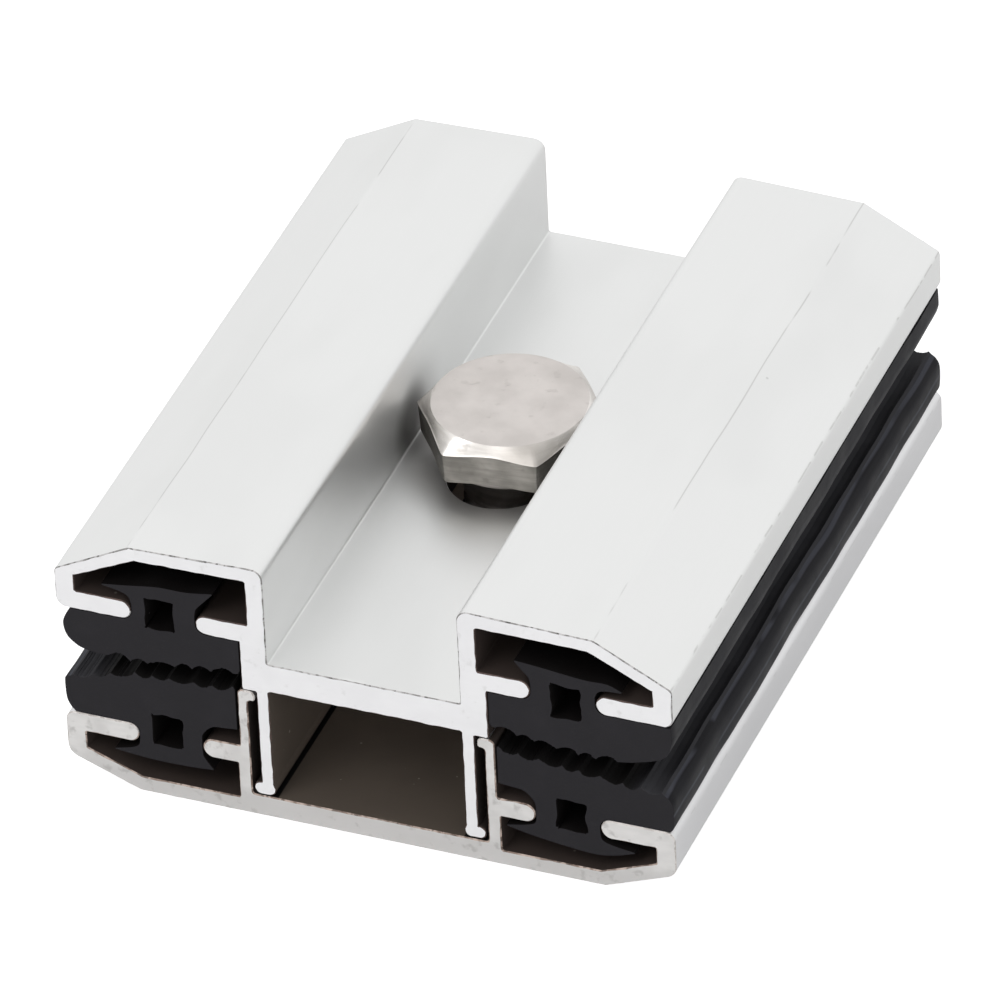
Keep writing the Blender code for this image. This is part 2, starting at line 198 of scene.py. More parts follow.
def makeLineGroup():
    # a thin line where Value is near Place; it wanders a little and noise breaks it up
    tree, ins, exits = newGroup("brokenLine", {
        "Vector": (0, 0, 0), "Value": 0.0, "Place": 0.0188, "Width": 0.0001, "Dash": 300.0, "Gap": 0.5,
    }, ["Mask"])
    noise = put(tree, "ShaderNodeTexNoise", {
        "Vector": ins["Vector"], "Scale": lineLook["wanderScale"], "Detail": 1.0,
    })
    evened = sums(tree, "SUBTRACT", noise.outputs["Fac"], 0.5)
    moved = sums(tree, "ADD", ins["Value"], sums(tree, "MULTIPLY", evened, lineLook["wander"] * mm))
    away = sums(tree, "ABSOLUTE", sums(tree, "SUBTRACT", moved, ins["Place"]))
    near = spread(tree, away, ins["Width"], sums(tree, "MULTIPLY", ins["Width"], lineLook["core"]))
    dashes = put(tree, "ShaderNodeTexNoise", {"Vector": ins["Vector"], "Scale": ins["Dash"], "Detail": 2.0})
    on = spread(tree, dashes.outputs["Fac"], ins["Gap"], sums(tree, "ADD", ins["Gap"], lineLook["fade"]))
    return finishGroup(tree, exits, {"Mask": sums(tree, "MULTIPLY", near, on)})


grain = makeGrainGroup()
specks = makeSpeckGroup()
brokenLine = makeLineGroup()


def effect(tree, group, place, **values):
    return put(tree, "ShaderNodeGroup", {"Vector": place, **values}, node_tree=group).outputs


def newMaterial(name, metallic, **fixed):
    # a Principled shader with its plain values, and the object's own coordinates
    material = bpy.data.materials.new(name)
    tree = emptyTree(material)
    shader = put(tree, "ShaderNodeBsdfPrincipled", {"Metallic": metallic, **fixed})
    put(tree, "ShaderNodeOutputMaterial", {"Surface": shader.outputs[0]})
    place = tree.nodes.new("ShaderNodeTexCoord").outputs["Object"]
    return material, tree, shader, place


def axesOf(tree, place):
    # distance from the middle across and along, and the height
    axes = put(tree, "ShaderNodeSeparateXYZ", {0: place}).outputs
    return sums(tree, "ABSOLUTE", axes[0]), sums(tree, "ABSOLUTE", axes[1]), axes[2]


def paint(tree, shader, colour, rough, relief, depth):
    # feeds a shader; depth is the height of the relief in mm
    bump = put(tree, "ShaderNodeBump", {"Height": relief, "Distance": depth * mm, "Strength": 1.0})
    for name, value in (("Base Color", colour), ("Roughness", rough), ("Normal", bump.outputs[0])):
        feed(tree, shader.inputs[name], value)


noiseRange = (0.3, 0.7)


def swinging(tree, noise, rough, look):
    # roughness that swings with a noise, over the range where most of a noise's values lie
    return spread(tree, noise, *noiseRange, rough - look["smoother"], rough + look["rougher"])


# In these dictionaries pairs are limits in mm, scales are per metre, and the rest are shares.
skinLook = {
    "lines": {"Stretch": (1, 0.02, 1), "Scale": 3600.0, "Detail": 3.0},
    "spots": {"Scale": 5200.0, "Detail": 3.0}, "spotShare": 0.8,
    "marks": {"Stretch": (1, 0.5, 1), "Scale": 110.0, "Low": 0.42, "High": 0.72},
    "nicks": {"Scale": 260.0, "Size": 0.05, "Share": 0.16}, "nickShade": 0.3,
    "ridge": {"Dash": 150.0, "Width": 0.08 * mm}, "edge": {"Dash": 500.0, "Width": 0.09 * mm},
    "outside": (22, 23), "smoother": 0.04, "rougher": 0.05,
    # the next two lines set a painted shade round the bolt, low in the channel, and a painted dark
    # reflection of the bolt head on the channel wall, with its tone
    "seat": (0.3 * mm, 0.7 * mm, 0), "seatShadeReach": (10.4, 6.6), "seatShadeHeight": (21.5, 16),
    "headReflection": (-7.85 * mm, 0.2 * mm, 16.6 * mm), "headReflectionReach": (4.0, 1.0), "reflectionTone": (0.03, 0.026, 0.023),
}


def railSkin(name, look):
    # satin drawn aluminium: faint lines along Y, fine grain, soft handling marks, broken lines on its
    # ridges and edges, painted shade round the bolt, and a painted dark reflection of its head on the wall
    material, tree, shader, place = newMaterial(name, look["metallic"])
    across, _, height = axesOf(tree, place)
    lines, spots, marks = (
        effect(tree, grain, place, **skinLook[part]) for part in ("lines", "spots", "marks"))
    nicks = effect(tree, specks, place, **skinLook["nicks"])
    ridge = effect(tree, brokenLine, place, Value=across, Place=look["ridge"] * mm, Gap=look["ridgeGap"],
                   **skinLook["ridge"])
    edge = effect(tree, brokenLine, place, Value=height, Place=look["edge"] * mm, Gap=look["edgeGap"],
                  **skinLook["edge"])
    outerEdge = sums(tree, "MULTIPLY", edge["Mask"], band(tree, across, skinLook["outside"]))
    # painted shade round the bolt's axis, only low in the channel
    flat = put(tree, "ShaderNodeVectorMath", {0: place, 1: (1, 1, 0)}, operation="MULTIPLY").outputs[0]
    seat = sums(tree, "MULTIPLY", patchRound(tree, flat, skinLook["seat"], skinLook["seatShadeReach"]),
                band(tree, height, skinLook["seatShadeHeight"]))
    # painted dark reflection of the bolt head on the channel wall beside it
    paintedReflection = patchRound(tree, place, skinLook["headReflection"], skinLook["headReflectionReach"])
    colour = washed(
        tree, mixColour(tree, marks["Mask"], look["colour"], look["marks"]),
        (lines["Mask"], look["lines"], look["marks"]), (ridge["Mask"], look["ridgeShade"], look["dark"]),
        (outerEdge, look["edgeShade"], look["dark"]), (nicks["Mask"], skinLook["nickShade"], look["dark"]),
        (seat, look["seatShade"], look["dark"]), (paintedReflection, look["headReflectionShare"], skinLook["reflectionTone"]))
    grit = sums(tree, "MULTIPLY", spots["Value"], skinLook["spotShare"])
    relief = sums(tree, "ADD", lines["Value"], grit)
    rough = swinging(tree, marks["Value"], look["rough"], skinLook)
    paint(tree, shader, colour, rough, relief, look["relief"])
    return material


cutLook = {
    "saw": {"Stretch": (0.25, 1, 1), "Scale": 2600.0, "Detail": 3.0}, "sawShade": 0.2,
    "patches": {"Scale": 420.0, "Low": 0.35, "High": 0.7}, "patchShade": 0.6,
    "scuffs": {"Scale": 1150.0, "Detail": 4.0}, "scuffStep": 0.16, "bright": (1.4, 3.2),
}


def sawnMetal(name, look):
    # sawn and deburred end: slanting saw marks, scuffs, and a darker tone towards the bottom
    material, tree, shader, place = newMaterial(name, look["metallic"])
    saw = effect(tree, grain, place, **cutLook["saw"])
    patches = effect(tree, grain, place, **cutLook["patches"])
    scuffs = effect(tree, grain, place, Low=look["scuffFrom"],
                    High=look["scuffFrom"] + cutLook["scuffStep"], **cutLook["scuffs"])
    bright = band(tree, axesOf(tree, place)[2], cutLook["bright"])
    colour = washed(
        tree, mixColour(tree, bright, look["low"], look["colour"]),
        (patches["Mask"], cutLook["patchShade"], look["patches"]),
        (saw["Mask"], cutLook["sawShade"], look["patches"]), (scuffs["Mask"], look["scuffs"], look["dark"]))
    relief = sums(tree, "SUBTRACT", saw["Value"], scuffs["Mask"])
    paint(tree, shader, colour, look["rough"], relief, look["relief"])
    return material


burrLook = {"metallic": 0.3, "rough": 0.6, "relief": 0.01, "finer": 1.9,
            "stretches": {"Detail": 3.0, "Low": 0.40, "High": 0.60}, "nicks": {"Low": 0.54, "High": 0.62}}


def burrMetal(name, look):
    # the thin broken edge round a sawn end: light and dark stretches with darker nicks
    material, tree, shader, place = newMaterial(name, burrLook["metallic"])
    stretches = effect(tree, grain, place, Scale=look["scale"], **burrLook["stretches"])
    nicks = effect(tree, grain, place, Scale=look["scale"] * burrLook["finer"], **burrLook["nicks"])
    colour = washed(tree, mixColour(tree, stretches["Mask"], look["light"], look["middle"]),
                    (nicks["Mask"], look["nicks"], look["dark"]))
    paint(tree, shader, colour, burrLook["rough"], stretches["Value"], burrLook["relief"])
    return material


shadeLook = {
    "specular": 0.25, "relief": 0.02, "clouds": {"Scale": 160.0, "Low": 0.3, "High": 0.75},
    "cloudShade": 0.35, "dust": {"Scale": 720.0, "Size": 0.10, "Share": 0.5}, "dustShade": 0.45,
    "seamAcross": (7.54, 7.66), "seamHeight": (2.30, 2.14), "seamShadowColour": (0.002, 0.002, 0.002),
}


def shadedMetal(name, look):
    # inner faces painted dark as shade: darker near the open ends and lighter deep inside, making up for
    # the light that falls off with depth; a few pale dust specks; and a painted shadow in the seam where
    # a foot meets the plate
    material, tree, shader, place = newMaterial(
        name, look["metallic"], **{"Specular IOR Level": shadeLook["specular"]})
    across, along, height = axesOf(tree, place)
    clouds = effect(tree, grain, place, **shadeLook["clouds"])
    dust = effect(tree, specks, place, **shadeLook["dust"])
    # painted shadow in the seam under the foot
    seamShadow = sums(tree, "MULTIPLY", band(tree, across, shadeLook["seamAcross"]),
                band(tree, height, shadeLook["seamHeight"]))
    colour = washed(
        tree, mixColour(tree, band(tree, along, look["nearEnd"]), look["deep"], look["colour"]),
        (clouds["Mask"], shadeLook["cloudShade"], look["clouds"]),
        (dust["Mask"], shadeLook["dustShade"], look["dust"]), (seamShadow, look["seamShadow"], shadeLook["seamShadowColour"]))
    paint(tree, shader, colour, look["rough"], clouds["Value"], shadeLook["relief"])
    return material


rubberLook = {
    "smudges": {"Scale": 300.0, "Detail": 3.0, "Low": 0.4, "High": 0.75},
    "streaks": {"Stretch": (1, 0.012, 1), "Scale": 1900.0, "Detail": 3.0}, "pores": {"Scale": 4200.0},
    "dust": {"Scale": 900.0, "Size": 0.06}, "dustShade": 0.5, "scuffs": {"Dash": 120.0, "Gap": 0.36},
    "smoother": 0.06, "rougher": 0.08,
}


def rubberFinish(name, look):
    # charcoal rubber: faint smudges, fine pores, dust, drawn streaks, and pale lines along Y at set
    # heights on the moulded sides; a ribbed face fades to black away from its outer edge, painted shade
    # deep in the gap between the strips
    material, tree, shader, place = newMaterial(name, 0.0, **{"Specular IOR Level": look["specular"]})
    across, _, height = axesOf(tree, place)
    smudges, streaks, pores = (
        effect(tree, grain, place, **rubberLook[part]) for part in ("smudges", "streaks", "pores"))
    dust = effect(tree, specks, place, Share=look["dusty"], **rubberLook["dust"])
    colour = mixColour(tree, smudges["Mask"], look["colour"], look["smudges"])
    # pale lines along Y at the given heights
    for level, width, tone in look.get("lines", []):
        line = effect(tree, brokenLine, place, Value=height, Place=level * mm, Width=width * mm,
                      **rubberLook["scuffs"])
        colour = mixColour(tree, line["Mask"], colour, tone)
    # painted shade: the ribbed face goes black away from its outer edge, deep in the gap between the strips
    if "paintedGapShade" in look:
        colour = mixColour(tree, band(tree, across, look["plain"]), look["paintedGapShade"], colour)
    colour = washed(tree, colour, (dust["Mask"], rubberLook["dustShade"], look["dust"]))
    relief = sums(tree, "ADD", sums(tree, "MULTIPLY", streaks["Value"], look["streaks"]), pores["Value"])
    rough = swinging(tree, smudges["Value"], look["rough"], rubberLook)
    paint(tree, shader, colour, rough, relief, look["relief"])
    return material


steelLook = {
    "clouds": {"Scale": 330.0, "Detail": 3.0, "Low": 0.35, "High": 0.7}, "fine": {"Scale": 3600.0},
    "hairs": {"Stretch": (0.12, 0.12, 1), "Scale": 2800.0, "Detail": 3.0}, "hairShade": 0.3,
    "dents": {"Scale": 900.0, "Low": 0.62, "High": 0.74}, "dentShade": 0.25,
    "scrapeAndShade": (4.7 * mm, -5.3 * mm, 18.9 * mm), "scrapeAndShadeReach": (3.8, 1.14),
    "smoother": 0.05, "rougher": 0.08,
}


def boltSteel(name, look):
    # worn stainless steel: cloudy warm tint, dents, hair scratches round the sides, and a darker place at
    # the chamfer's front right corner, painted shade over the highlight there and partly scraped wear
    material, tree, shader, place = newMaterial(name, 1.0)
    clouds, hairs, fine, dents = (
        effect(tree, grain, place, **steelLook[part]) for part in ("clouds", "hairs", "fine", "dents"))
    # painted shade on the chamfer's front right corner, partly scraped wear
    scrapedAndShaded = patchRound(tree, place, steelLook["scrapeAndShade"], steelLook["scrapeAndShadeReach"])
    colour = washed(
        tree, mixColour(tree, clouds["Mask"], look["colour"], look["tint"]),
        (hairs["Mask"], steelLook["hairShade"], look["dark"]),
        (dents["Mask"], steelLook["dentShade"], look["dark"]), (scrapedAndShaded, look["scrapedAndShaded"], look["dark"]))
    relief = sums(tree, "ADD", sums(tree, "MULTIPLY", hairs["Value"], look["scratches"]), fine["Value"])
    relief = sums(tree, "SUBTRACT", relief, sums(tree, "MULTIPLY", dents["Mask"], look["dents"]))
    rough = swinging(tree, clouds["Value"], look["rough"], steelLook)
    paint(tree, shader, colour, rough, relief, look["relief"])
    return material


# painted shade on inner faces: the wing cavities, the leg space and the ends of the legs' sliding faces
cavityShade = shadedMetal("cavity", {
    "metallic": 0.0, "rough": 0.6, "colour": (0.045, 0.034, 0.030), "clouds": (0.028, 0.021, 0.018),
    "dust": (0.25, 0.23, 0.2), "deep": (0.050, 0.042, 0.038), "nearEnd": (10.0, 28.0), "seamShadow": 0.0,
})
# the leg space is painted flat dark brown; its paler tone deep inside offsets the light that falls off with
# depth
legSpaceShade = shadedMetal("legSpace", {
    "metallic": 0.0, "rough": 0.6, "colour": (0.105, 0.086, 0.070), "clouds": (0.075, 0.062, 0.052),
    "dust": (0.5, 0.48, 0.42), "deep": (0.32, 0.26, 0.215), "nearEnd": (4.0, 29.0), "seamShadow": 1.0,
})
# the legs' sliding faces are grey deep inside and painted dark within the last few mm of each end, shade in
# the narrow gap between the rails
slideShade = shadedMetal("slideFaceShade", {
    "metallic": 0.4, "rough": 0.5, "colour": (0.050, 0.040, 0.036), "clouds": (0.05, 0.042, 0.038),
    "dust": (0.4, 0.38, 0.34), "deep": (0.55, 0.55, 0.55), "nearEnd": (25.5, 28.0), "seamShadow": 0.0,
})
topMetal = {
    "skin": railSkin("topSkin", {
        "metallic": 0.9, "rough": 0.42, "colour": (0.825, 0.83, 0.825), "marks": (0.80, 0.805, 0.80),
        "dark": (0.24, 0.225, 0.215), "ridge": 18.8, "ridgeGap": 0.40, "ridgeShade": 0.30, "lines": 0.12,
        # how strongly the painted shade round the bolt and the painted reflection on the wall show
        "edge": 19.74, "edgeGap": 0.44, "edgeShade": 0.30, "seatShade": 0.55, "headReflectionShare": 0.76,
        "relief": 0.0012,
    }),
    "legSpace": legSpaceShade,
    "inside": cavityShade,
    "slide": slideShade,
    "sawn": sawnMetal("topSawn", {
        "metallic": 0.3, "rough": 0.5, "colour": (0.86, 0.86, 0.875), "low": (0.86, 0.86, 0.875),
        "patches": (0.81, 0.81, 0.825), "dark": (0.5, 0.49, 0.48), "scuffFrom": 0.62, "scuffs": 0.25,
        "relief": 0.004,
    }),
    "burr": burrMetal("topBurr", {
        "light": (0.52, 0.51, 0.51), "middle": (0.24, 0.235, 0.23), "dark": (0.045, 0.042, 0.04),
        "nicks": 0.85, "scale": 1300.0,
    }),
    # the bevel round the shaded inner faces: painted shade carried onto the rim, with a warm tint
    "edge": burrMetal("topShadedRim", {
        "light": (0.10, 0.065, 0.055), "middle": (0.05, 0.03, 0.026), "dark": (0.02, 0.015, 0.012),
        "nicks": 0.5, "scale": 700.0,
    }),
}
baseMetal = {
    "skin": railSkin("baseSkin", {
        "metallic": 0.85, "rough": 0.40, "colour": (0.78, 0.78, 0.79), "marks": (0.73, 0.73, 0.74),
        "dark": (0.25, 0.24, 0.24), "ridge": 19.0, "ridgeGap": 0.55, "ridgeShade": 0.3, "lines": 0.2,
        "edge": 5.75, "edgeGap": 0.50, "edgeShade": 0.16, "seatShade": 0.0, "headReflectionShare": 0.0,
        "relief": 0.002,
    }),
    "legSpace": legSpaceShade,
    "inside": cavityShade,
    "slide": slideShade,
    "sawn": sawnMetal("baseSawn", {
        "metallic": 0.4, "rough": 0.5, "colour": (0.74, 0.73, 0.72), "low": (0.60, 0.59, 0.585),
        "patches": (0.57, 0.56, 0.55), "dark": (0.32, 0.31, 0.30), "scuffFrom": 0.56, "scuffs": 0.42,
        "relief": 0.009,
    }),
    "burr": burrMetal("baseBurr", {
        "light": (0.66, 0.63, 0.61), "middle": (0.50, 0.47, 0.45), "dark": (0.22, 0.19, 0.17),
        "nicks": 0.5, "scale": 1300.0,
    }),
    # the bevel round the shaded inner faces: painted shade carried onto the rim, with a warm tint
    "edge": burrMetal("baseShadedRim", {
        "light": (0.50, 0.41, 0.36), "middle": (0.22, 0.16, 0.13), "dark": (0.06, 0.04, 0.032),
        "nicks": 0.7, "scale": 1100.0,
    }),
}
rubber = {
    "side": rubberFinish("rubberSide", {
        "colour": (0.0095, 0.0092, 0.0115), "smudges": (0.014, 0.014, 0.017), "dust": (0.2, 0.2, 0.2),
        "dusty": 0.10, "rough": 0.45, "specular": 0.08, "streaks": 2.0, "relief": 0.006,
        "lines": [(13.15, 0.18, (0.060, 0.060, 0.066)), (9.72, 0.18, (0.055, 0.057, 0.070)),
                  (8.0, 0.22, (0.040, 0.042, 0.052)), (6.5, 0.16, (0.075, 0.030, 0.020))],
    }),
    "cut": rubberFinish("rubberCut", {
        "colour": (0.0120, 0.0112, 0.0138), "smudges": (0.0165, 0.0155, 0.0185), "dust": (0.2, 0.2, 0.2),
        "dusty": 0.14, "rough": 0.62, "specular": 0.20, "streaks": 0.0, "relief": 0.010,
    }),
    "ribs": rubberFinish("rubberRibs", {
        "colour": (0.034, 0.034, 0.038), "smudges": (0.045, 0.045, 0.050), "dust": (0.2, 0.2, 0.2),
        "dusty": 0.04, "rough": 0.7, "specular": 0.12, "streaks": 1.0, "relief": 0.006,
        # painted shade deep in the gap between the strips
        "paintedGapShade": (0.0030, 0.0026, 0.0026), "plain": (20.8, 22.8),
    }),
    # a darker copy of the rubber, painted shade on the faces inside the lips and in the tunnel
    "inShade": rubberFinish("rubberInShade", {
        "colour": (0.0048, 0.0040, 0.0040), "smudges": (0.0070, 0.0062, 0.0062), "dust": (0.25, 0.24, 0.22),
        "dusty": 0.16, "rough": 0.8, "specular": 0.05, "streaks": 0.0, "relief": 0.010,
    }),
}
steel = {
    "face": boltSteel("boltFace", {
        "colour": (0.70, 0.66, 0.635), "tint": (0.665, 0.63, 0.605), "dark": (0.44, 0.41, 0.39),
        "rough": 0.38, "scratches": 0.3, "dents": 2.6, "relief": 0.012, "scrapedAndShaded": 0.0,
    }),
    # a lighter copy of the steel on the chamfer, a painted highlight
    "chamfer": boltSteel("boltChamfer", {
        "colour": (0.88, 0.85, 0.82), "tint": (0.76, 0.73, 0.70), "dark": (0.40, 0.37, 0.34),
        "rough": 0.36, "scratches": 0.8, "dents": 2.0, "relief": 0.010, "scrapedAndShaded": 0.62,
    }),
    # a darker copy of the steel on the flats: painted shade for the dark floor they mirror, partly real
    # scratches
    "side": boltSteel("boltSide", {
        "colour": (0.31, 0.295, 0.272), "tint": (0.21, 0.20, 0.183), "dark": (0.09, 0.083, 0.076),
        "rough": 0.42, "scratches": 2.0, "dents": 1.5, "relief": 0.010, "scrapedAndShaded": 0.0,
    }),
    # a darker copy of the steel under the head, on the washer face and the shank: painted shade under the
    # head, partly grease on the thread
    "shank": boltSteel("boltShank", {
        "colour": (0.36, 0.335, 0.32), "tint": (0.25, 0.235, 0.22), "dark": (0.10, 0.092, 0.088),
        "rough": 0.5, "scratches": 0.6, "dents": 0.5, "relief": 0.006, "scrapedAndShaded": 0.0,
    }),
}
print("materials made")


# Outlines. Corners are (across, up, radius, finish of the edge that follows).
def arcCorner(before, corner, after, radius, steps=6):
    # the arc of that radius which touches both lines of a corner
    corner = np.array(corner, float)
    back = np.array(before, float) - corner
    ahead = np.array(after, float) - corner
    back /= np.hypot(*back)
    ahead /= np.hypot(*ahead)
    half = np.arccos(np.clip(back @ ahead, -1, 1)) / 2
    middle = (back + ahead) / np.hypot(*(back + ahead))
    centre = corner + middle * radius / np.sin(half)
    start = corner + back * radius / np.tan(half) - centre
    stop = corner + ahead * radius / np.tan(half) - centre
    swing = np.arctan2(start[0] * stop[1] - start[1] * stop[0], start @ stop)
    angles = np.arctan2(start[1], start[0]) + swing * np.linspace(0, 1, steps + 1)
    return centre + radius * np.column_stack([np.cos(angles), np.sin(angles)])


def bothSides(half, closing):
    # completes half an outline by its mirror image; an edge keeps its finish on both sides
    right = [(x, z, radius, finish, finish) for x, z, radius, finish in half]
    left = []
    for index in range(len(half) - 1, -1, -1):
        x, z, radius, finish = half[index]
        left.append((-x, z, radius, finish, half[index - 1][3] if index else closing))
    return right + left


def outlineOf(corners, spacing):
    # rounds the corners, then adds points along the straight stretches
    points, finishes = [], []
    for index, (x, z, radius, arcFinish, finish) in enumerate(corners):
        before, after = corners[index - 1][:2], corners[(index + 1) % len(corners)][:2]
        arc = arcCorner(before, (x, z), after, radius) if radius else np.array([[x, z]])
        points.append(arc)
        finishes += [arcFinish] * (len(arc) - 1) + [finish]
    points = np.concatenate(points)
    ahead = np.roll(points, -1, 0) - points
    counts = np.maximum(1, np.round(np.hypot(*ahead.T) / spacing)).astype(int)
    start = np.repeat(np.arange(len(points)), counts)
    step = (np.arange(counts.sum()) - np.repeat(np.cumsum(counts) - counts, counts)) / counts[start]
    points = points[start] + ahead[start] * step[:, None]
    finishes = np.array(finishes)[start]
    if loopArea(points) < 0:
        points, finishes = points[::-1], np.roll(finishes[::-1], -1)
    return points, finishes


def loopArea(loop):
    # half the sum of each edge's cross product, positive when the loop runs anticlockwise
    after = np.roll(loop, -1, 0)
    return (loop[:, 0] * after[:, 1] - after[:, 0] * loop[:, 1]).sum() / 2


def insetLoop(loop, amount):
    # each point moves inwards along the bisector of its two edges
    ahead = np.roll(loop, -1, 0) - loop
    ahead /= np.hypot(*ahead.T)[:, None]
    inwards = np.column_stack([-ahead[:, 1], ahead[:, 0]])
    behind = np.roll(inwards, 1, 0)
    reach = 1 + (inwards * behind).sum(1)
    return loop + (inwards + behind) / reach[:, None] * np.reshape(amount, (-1, 1))


def waves(count, size, seed, smooth):
    # seeded unevenness round a loop: random steps, averaged over smooth neighbours
    values = np.random.default_rng(seed).normal(size=count)
    window = np.hanning(smooth + 2)[1:-1]
    padded = np.concatenate([values[-smooth:], values, values[:smooth]])
    return np.convolve(padded, window / np.sqrt((window ** 2).sum()), "same")[smooth:-smooth] * size


def joinRings(rings, after):
    # four-sided faces from each ring of points to the next; after is each point's neighbour in its ring
    count = len(after)
    here = np.arange(count)
    start = np.arange(rings - 1)[:, None] * count
    quads = np.stack([here + start, here + start + count, after + start + count, after + start], -1)
    return quads.reshape(-1, 4)


def sweptMesh(name, sections, depths, loops, finishes, endFinish, rimFinish, materials):
    # sections are the same loops at each depth along Y; walls join them and a flat face closes each end
    stations, count = sections.shape[:2]
    points = np.empty((stations, count, 3))
    points[:, :, 0], points[:, :, 2] = sections[:, :, 0], sections[:, :, 1]
    points[:, :, 1] = depths[:, None]
    after = np.arange(count) + 1
    first = np.cumsum([0] + loops[:-1])
    after[np.cumsum(loops) - 1] = first
    wallFinish = np.tile(finishes, (stations - 1, 1))
    if rimFinish is not None:
        wallFinish[[0, -1]] = rimFinish
    faces = joinRings(stations, after).tolist()
    slots = wallFinish.reshape(-1).tolist()
    for station, turned in ((0, 1), (stations - 1, -1)):
        flat = [[Vector((x, z, 0)) for x, z in sections[station, begin:begin + size]]
                for begin, size in zip(first, loops)]
        triangles = np.array(tessellate_polygon(flat))
        corners = sections[station][triangles]
        one, two = corners[:, 1] - corners[:, 0], corners[:, 2] - corners[:, 0]
        wrong = (one[:, 0] * two[:, 1] - one[:, 1] * two[:, 0]) * turned < 0
        triangles[wrong] = triangles[wrong][:, ::-1]
        faces += (triangles + station * count).tolist()
        slots += [endFinish] * len(triangles)
    return meshObject(name, points.reshape(-1, 3), faces, slots, materials)


sharpFrom = math.radians(32)


def meshObject(name, points, faces, slots, materials):
    mesh = bpy.data.meshes.new(name)
    mesh.from_pydata(points * mm, [], faces)
    for material in materials:
        mesh.materials.append(material)
    mesh.polygons.foreach_set("material_index", np.array(slots, np.int32))
    mesh.shade_smooth()
    mesh.set_sharp_from_angle(angle=sharpFrom)
    mesh.update()
    return addObject(name, mesh)


# Rails. Both have wings with two lips that hold a strip, and guide legs between the wings.
skin, legSpace, inside, slide, sawn, burr, edge = range(7)
rounds = {"sharp": 0.05, "tight": 0.1, "soft": 0.15, "small": 0.2, "leg": 0.25, "root": 0.3}
wing = {"outerWall": 1.6, "lip": 1.7, "opening": 5.3, "inset": 8.8, "lipCorner": 0.8, "tipShare": 0.98}
guide = {"channelHalf": 7.85, "topLeg": 1.0, "foot": 0.6, "footDepth": 1.15, "footRound": 0.52,
         "footBulge": 0.12, "play": 0.2, "baseLeg": 1.05, "upperLeg": 0.8, "hook": 0.92, "hookRound": 0.45}
clampHalf = topHigh[0]
stripMiddle = clampHalf - wing["inset"]
innerTip, outerTip = stripMiddle - wing["opening"] / 2, stripMiddle + wing["opening"] / 2
legOuter = guide["channelHalf"] + guide["topLeg"]
footOuter = legOuter + guide["foot"]
hookInner = legOuter + guide["play"]
baseLegInner = footOuter + guide["play"]


def lipEnd(tip, near, far, first, second):
    # two arcs make the lip's end nearly a half circle
    reach = abs(near - far) / 2 * wing["tipShare"]
    return [(tip, near, reach, first), (tip, far, reach, second)]


base = {"plate": 1.9, "wall": 1.35, "slopeWidth": 5.85, "slopeRise": 2.3, "outerRound": 1.2,
        "innerRise": 3.1, "lipHeight": 4.6, "ridgeRound": 0.5, "spacing": 0.30, "rim": 0.09, "margin": 0.4,
        "uneven": 0.22, "seed": 11}


def baseCorners(look):
    side, hookTop = baseHigh[0], baseHigh[2]
    near, far = look["lipHeight"], look["lipHeight"] + wing["lip"]
    legOut = baseLegInner + guide["baseLeg"]
    upperOut = baseLegInner + guide["upperLeg"]
    cavity = side - wing["outerWall"]
    ridge = side - look["slopeWidth"]
    tilt = math.atan2(look["slopeRise"], look["slopeWidth"])
    return bothSides([
        (baseLegInner, look["plate"], rounds["leg"], slide),
        (baseLegInner, hookTop - guide["hook"], rounds["root"], slide),
        (hookInner, hookTop - guide["hook"], rounds["leg"], skin),
        (hookInner, hookTop, guide["hookRound"], skin),
        (upperOut, hookTop, guide["hookRound"], inside),
        (upperOut, far, rounds["soft"], inside),
        *lipEnd(innerTip, far, near, inside, inside),
        (legOut, near, rounds["tight"], inside),
        (legOut, look["wall"], rounds["small"], inside),
        (ridge - look["wall"] * math.tan(tilt / 2), look["wall"], 0, inside),
        (cavity, look["innerRise"], rounds["small"], inside),
        (cavity, near, rounds["tight"], inside),
        *lipEnd(outerTip, near, far, inside, skin),
        (side, far, wing["lipCorner"], skin),
        (side, look["slopeRise"], look["outerRound"], skin),
        (ridge, 0, look["ridgeRound"], skin),
    ], legSpace)


top = {"seat": 12.0, "blockUnder": 11.8, "footUnder": 2.05, "web": 2.6, "channelWall": 1.47, "block": 2.18,
       "lipDepth": 5.4, "roof": 1.35, "slopeWidth": 6.2, "slopeDrop": 3.6, "fall": 0.3, "outerRound": 0.5,
       "innerSlopeWidth": 5.1, "innerFall": 0.1, "innerDrop": 3.95, "ridgeRound": 0.6, "channelRound": 0.9,
       "bulgeShare": 3, "spacing": 0.30, "rim": 0.08, "margin": 0.4, "uneven": 0.22, "seed": 12}


